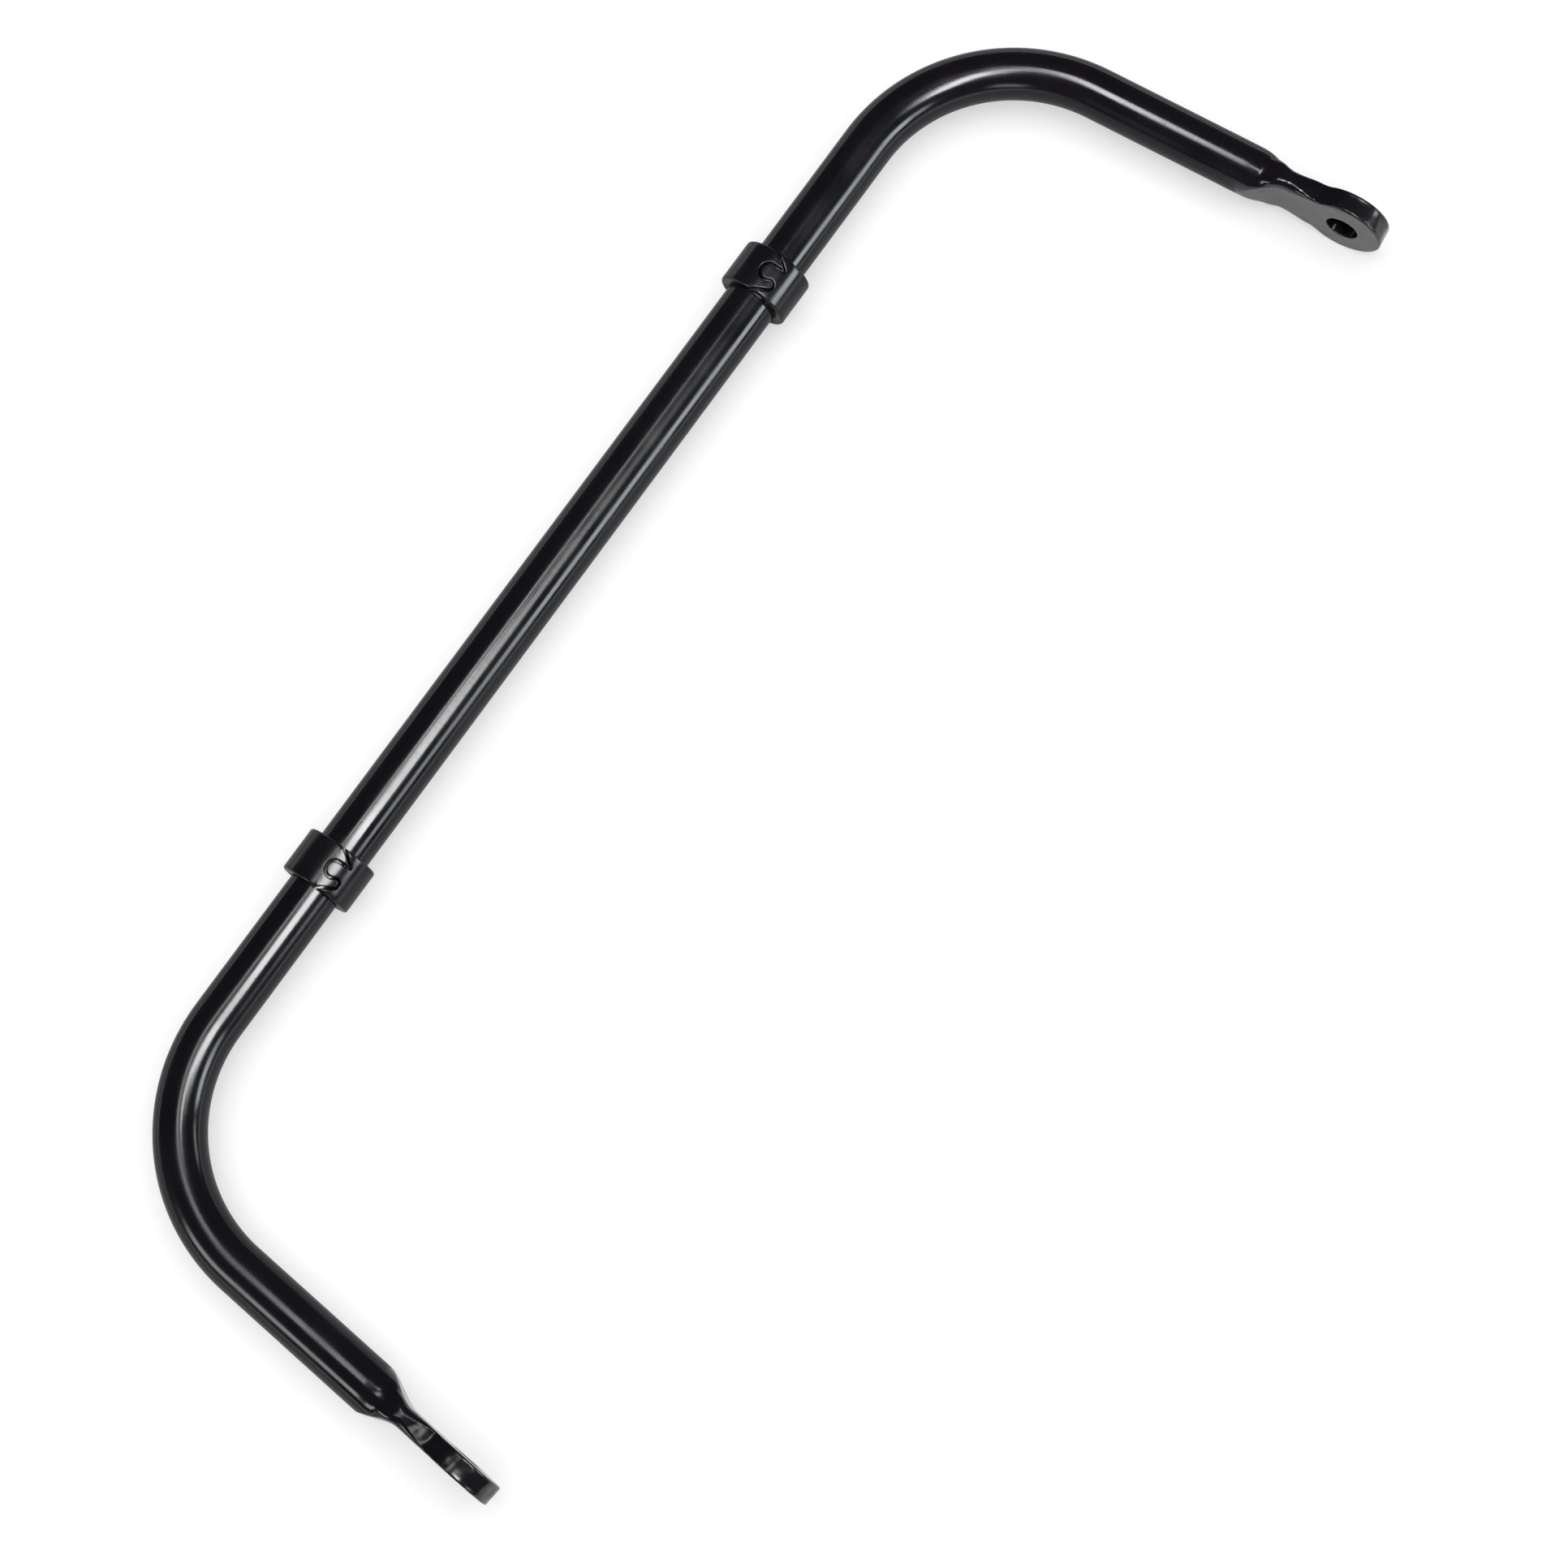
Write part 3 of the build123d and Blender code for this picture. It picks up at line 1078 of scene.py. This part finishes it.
# %% [markdown]
# ### Soft boxes
# A soft box is a lamp behind a white cloth. It could be a glowing plane, but
# an area light gives a cleaner result, and light linking can say which pieces
# it falls on. The face of each box has a set brightness, whatever its size. A
# grid keeps its light to a narrow angle, so that two boxes side by side can
# light one stretch of the bar each.

# %% Helpers for the soft boxes
STEEP = 0.8                           # a box that looks this far sideways is levelled by y


def lights_only(light, name, pieces):
    """Light linking: the light falls on these pieces and on nothing else."""
    group = bpy.data.collections.get(name) or bpy.data.collections.new(name)
    for piece in pieces:
        if piece.name not in group.objects:
            group.objects.link(piece)
    light.light_linking.receiver_collection = group


def soft_box(name, place, aim, size, brightness, grid=180, colour=(1, 1, 1)):
    """A rectangular light whose face has the given brightness. grid is in degrees."""
    data = bpy.data.lights.new(name, "AREA")
    data.shape = "RECTANGLE"
    data.size, data.size_y = size
    data.color = colour
    half = math.radians(grid) / 2
    data.spread = 2 * half
    share = 1 - half / math.tan(half) if grid < 180 else 1    # Blender brightens a narrow grid
    data.energy = brightness * math.pi * size[0] * size[1] * share
    light = bpy.data.objects.new(name, data)
    bpy.context.scene.collection.objects.link(light)
    toward = (Vector(aim) - Vector(place)).normalized()
    across = Vector((1, 0, 0)) if abs(toward.x) < STEEP else Vector((0, 1, 0))
    rise = across.cross(toward).normalized()
    across = toward.cross(rise).normalized()
    light.matrix_world = (Matrix.Translation(place)
                          @ Matrix((across, rise, -toward)).transposed().to_4x4())
    return light


print("soft boxes ready to hang")

# %% [markdown]
# ### Light on the table
# A wide white ceiling would grey the bar's gloss all over, so its light falls
# only on the table. One ceiling lamp would make the bar's shadow deeper than
# a bright room with white walls does. So the ceiling is hung twice: one casts
# the bar's shadow, and the other casts none and keeps the shadow faint.

# %% Light the table
CEILING_PLACE, CEILING_SIZE = (0, 0, 2.5), (4.4, 4.4)
CEILING_SHADOWED, CEILING_SHADOWLESS = 0.7, 1.6

ceiling = soft_box("white_ceiling", CEILING_PLACE, (0, 0, 0), CEILING_SIZE, CEILING_SHADOWED)
table_glow = soft_box("table_glow", CEILING_PLACE, (0, 0, 0), CEILING_SIZE, CEILING_SHADOWLESS)
for light in (ceiling, table_glow):
    lights_only(light, "lit_by_ceiling", [table])
table_glow.light_linking.blocker_collection = bpy.data.collections["lit_by_ceiling"]
print("table lit by", ceiling.name, "and", table_glow.name)

# %% [markdown]
# ### Streaks on the bar
# Glossy black shows only what it reflects. A bright sky all round would be
# simple, but it would hide the shape. So long soft boxes hang where their
# reflections run down the bar as thin pale streaks: overhead ones along the
# straight and the bend, one or two over each arm, and low windows for the
# second, bluer streak. They fall only on the object.

# %% Hang the soft boxes that streak the bar
SKY, GRID = (0.84, 0.95, 1.0), 44
# name, place, aim, size, brightness, and for some a grid and a colour
strips = [
    soft_box("overhead_left", (0.03, -0.80, 2.0), (0, 0, 0), (0.40, 0.90), 21),
    soft_box("overhead_middle", (0.35, -0.85, 2.0), (0, 0, 0), (0.20, 0.70), 5.5),
    soft_box("overhead_right", (0.53, -0.90, 2.0), (0, 0, 0), (0.16, 0.50), 0.9),
    soft_box("overhead_bend", (0.16, -0.20, 2.0), (-0.2, 0, 0), (0.24, 0.30), 15),
    soft_box("right_arm_near_bend", (0.18, 0.155, 1.1), (0.275, 0.01, 0), (0.42, 0.09), 25, GRID),
    soft_box("right_arm_near_eye", (0.18, 0.065, 1.1), (0.28, 0, 0), (0.36, 0.09), 5, GRID),
    soft_box("left_arm", (-0.23, 0.17, 1.1), (-0.28, 0, 0), (0.40, 0.15), 6, GRID),
    soft_box("window_front", (0.55, -1.5, 0.60), (0.1, 0, 0), (0.62, 0.50), 8.5, colour=SKY),
    soft_box("window_left", (0.10, -1.5, 0.66), (-0.1, 0, 0), (0.28, 0.40), 5, colour=SKY),
    soft_box("window_side", (-1.8, 0.68, 0.76), (-0.28, 0, 0), (0.76, 0.50), 5),
    soft_box("window_far_right", (1.65, -1.5, 0.72), (0.1, 0, 0), (0.7, 0.5), 2.5),
    soft_box("window_far_left", (-1.65, -1.5, 0.72), (-0.1, 0, 0), (0.7, 0.5), 2.5)]
for strip in strips:
    lights_only(strip, "lit_by_strips", [bar, collar_left, collar_right])
print("soft boxes:", len(strips))

# %% [markdown]
# ### A dim room
# With a black world the gloss between the streaks would be dead black, and a
# bright one would wash them out. A faint, cool grey stands for the walls.

# %% Dim the room
ROOM_COLOUR, ROOM_STRENGTH = (0.9, 0.93, 1.0, 1), 0.05

world = bpy.data.worlds.new("dim_room")
bpy.context.scene.world = world
world.use_nodes = True
room = world.node_tree.nodes["Background"]
room.inputs["Color"].default_value = ROOM_COLOUR
room.inputs["Strength"].default_value = ROOM_STRENGTH
print("room strength", ROOM_STRENGTH)

# %% [markdown]
# ### The camera
# The bar is seen from high above and a little in front, and lies slantwise
# across the view, so that its whole length fits a square. The camera could be
# turned by three angles, but a place, a point to look at and a roll about the
# line of sight are easier to read.

# %% Set up the camera
LENS = 88.4
CAMERA_AT = Vector((-0.2609, -0.2490, 1.3968))
LOOK_AT = Vector((-0.0167, -0.0337, 0.0165))
ROLL = math.radians(55.76)

camera_data = bpy.data.cameras.new("camera")
camera_data.lens = LENS
camera = bpy.data.objects.new("camera", camera_data)
bpy.context.scene.collection.objects.link(camera)
forward = (LOOK_AT - CAMERA_AT).normalized()
level_up = (Vector((0, 1, 0)) - forward * forward.y).normalized()
side_way = forward.cross(level_up)
view_up = level_up * math.cos(ROLL) + side_way * math.sin(ROLL)
camera_axes = Matrix((forward.cross(view_up), view_up, -forward)).transposed()
camera.matrix_world = Matrix.Translation(CAMERA_AT) @ camera_axes.to_4x4()
bpy.context.scene.camera = camera
bpy.context.scene.view_settings.view_transform = "Standard"
print("camera", tuple(CAMERA_AT), "lens", LENS)
